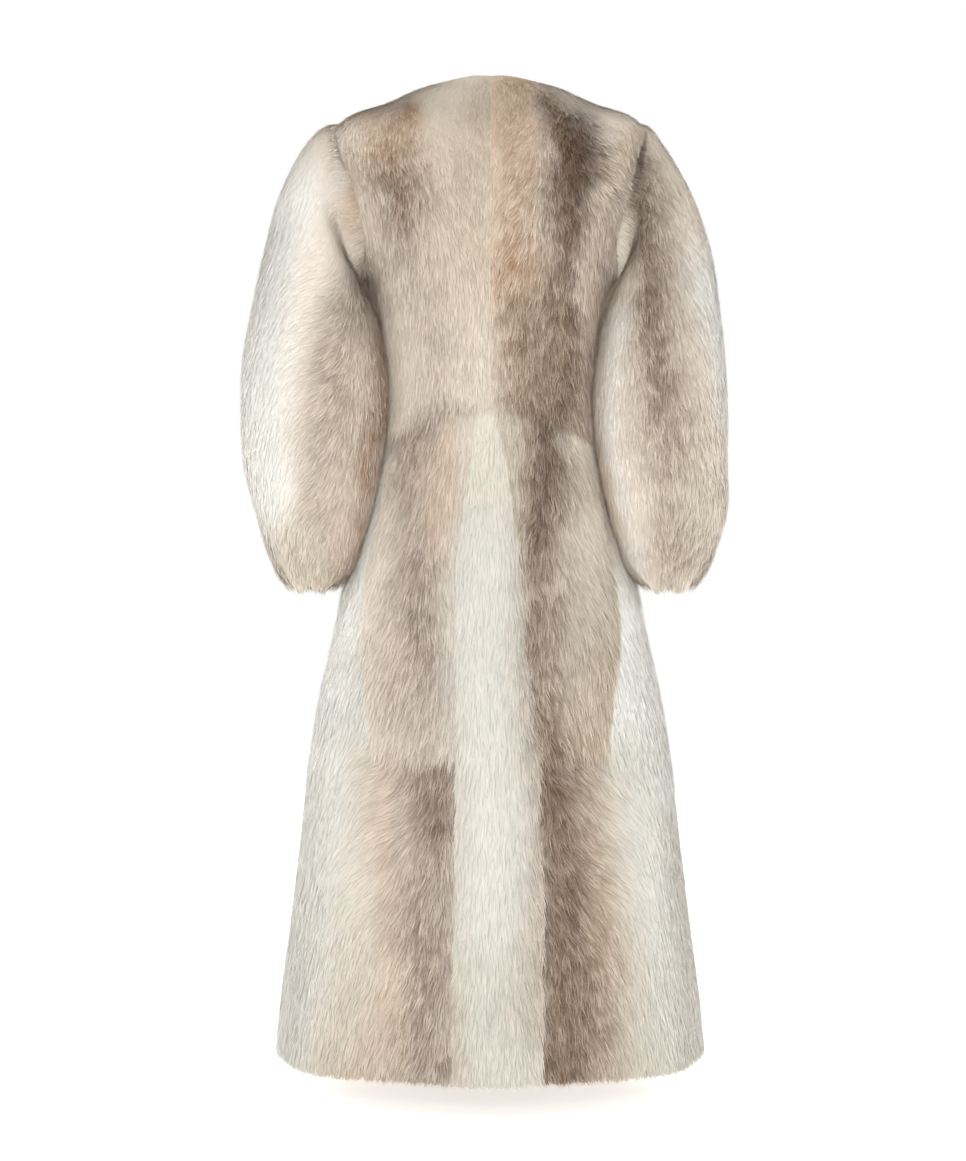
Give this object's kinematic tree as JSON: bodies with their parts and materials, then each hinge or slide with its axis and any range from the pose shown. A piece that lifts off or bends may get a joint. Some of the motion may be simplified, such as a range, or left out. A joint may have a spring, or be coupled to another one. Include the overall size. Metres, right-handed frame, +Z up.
{
  "type": "shearling coat",
  "caption": "Long-haired midi coat in pieced natural shades, with balloon sleeves, a fitted waist, seamed skirt tiers and a centre back gore, shown worn.",
  "frame": {"origin": "middle of the neck opening, level with the shoulders that carry the coat", "axes": "+Z up along the wearer, -Y towards the coat's front, +X to the wearer's left"},
  "size_m": [0.5825, 0.4133, 1.1757],
  "materials": {
    "ivory_pile": "long ivory pile on suede hide",
    "cream_pile": "long cream pile on suede hide",
    "fawn_pile": "long fawn pile on suede hide",
    "taupe_pile": "long taupe pile on suede hide"
  },
  "bodies": {
    "root": {"back_centre_gore": "ivory_pile", "back_middle_left": "taupe_pile", "back_middle_right": "taupe_pile", "back_lower_left": "fawn_pile", "back_lower_right": "fawn_pile", "side_left": "ivory_pile", "side_right": "ivory_pile", "front_skirt_left": "cream_pile", "front_skirt_right": "cream_pile", "back_upper_left": "fawn_pile", "back_upper_right": "fawn_pile", "front_upper_left": "cream_pile", "front_upper_right": "cream_pile", "sleeve_top_left": "cream_pile", "sleeve_top_right": "cream_pile", "sleeve_under_left": "taupe_pile", "sleeve_under_right": "taupe_pile"}
  },
  "joints": []
}
